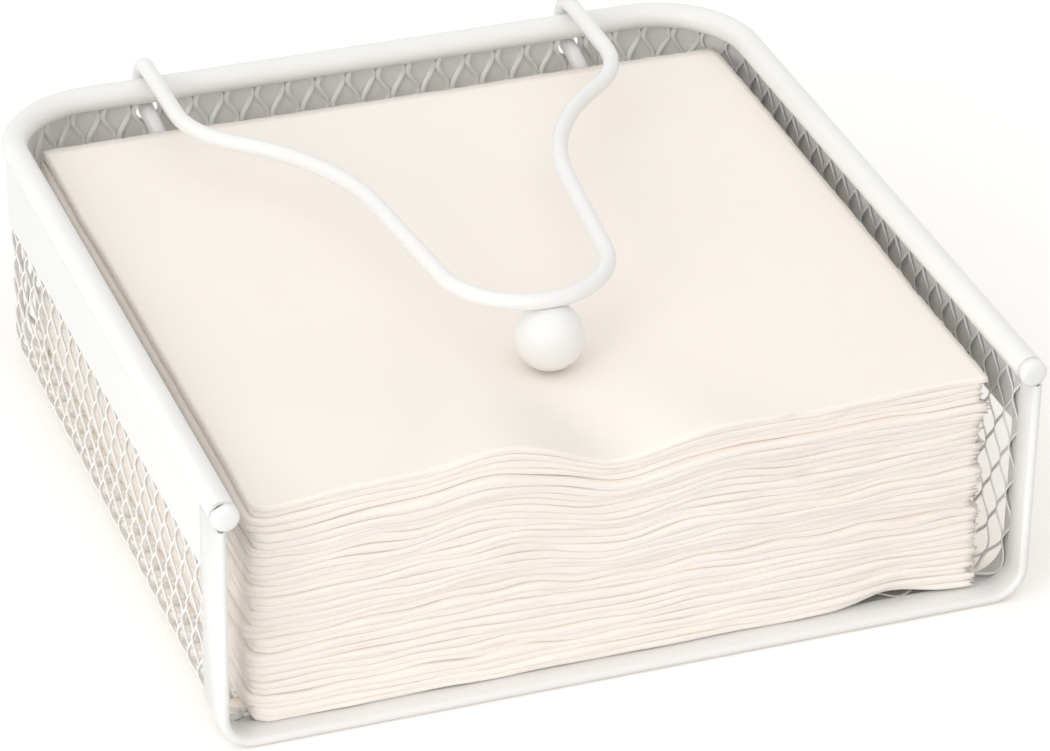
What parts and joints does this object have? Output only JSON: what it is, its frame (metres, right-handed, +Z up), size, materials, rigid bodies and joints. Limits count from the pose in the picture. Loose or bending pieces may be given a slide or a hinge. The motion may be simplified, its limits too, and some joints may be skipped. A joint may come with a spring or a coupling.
{
  "type": "napkin holder",
  "caption": "Open-fronted square tray of white expanded metal with a tubular rim, holding folded paper napkins under a hinged wire arm that ends in a ball.",
  "frame": {"origin": "middle of the footprint of the whole holder, on the surface it stands on", "axes": "+X to the right across the open front, +Y from the front to the hinged back, +Z up"},
  "size_m": [0.185, 0.1916, 0.0647],
  "materials": {
    "metal": "satin",
    "cap": "satin",
    "wire": "gloss",
    "ball": "gloss",
    "napkin": "matte"
  },
  "bodies": {
    "tray": {"rim_tube": "metal", "rim_cap_left": "cap", "rim_cap_right": "cap", "rim_band": "metal", "front_frame": "metal", "mesh_left_wall": "metal", "mesh_right_wall": "metal", "mesh_back_wall": "metal", "mesh_left_corner": "metal", "mesh_right_corner": "metal", "mesh_base": "metal", "napkin_01": "napkin", "napkin_02": "napkin", "napkin_03": "napkin", "napkin_04": "napkin", "napkin_05": "napkin", "napkin_06": "napkin", "napkin_07": "napkin", "napkin_08": "napkin", "napkin_09": "napkin", "napkin_10": "napkin", "napkin_11": "napkin", "napkin_12": "napkin", "napkin_13": "napkin", "napkin_14": "napkin", "napkin_15": "napkin", "napkin_16": "napkin"},
    "arm": {"arm_wire": "wire", "arm_ball": "ball"}
  },
  "joints": [
    {"name": "arm_hinge", "type": "hinge", "parent": "tray", "child": "arm", "pos_m": [0, 0.08815, 0.057], "axis": [-1, 0, 0], "range_deg": [0, 140]}
  ]
}
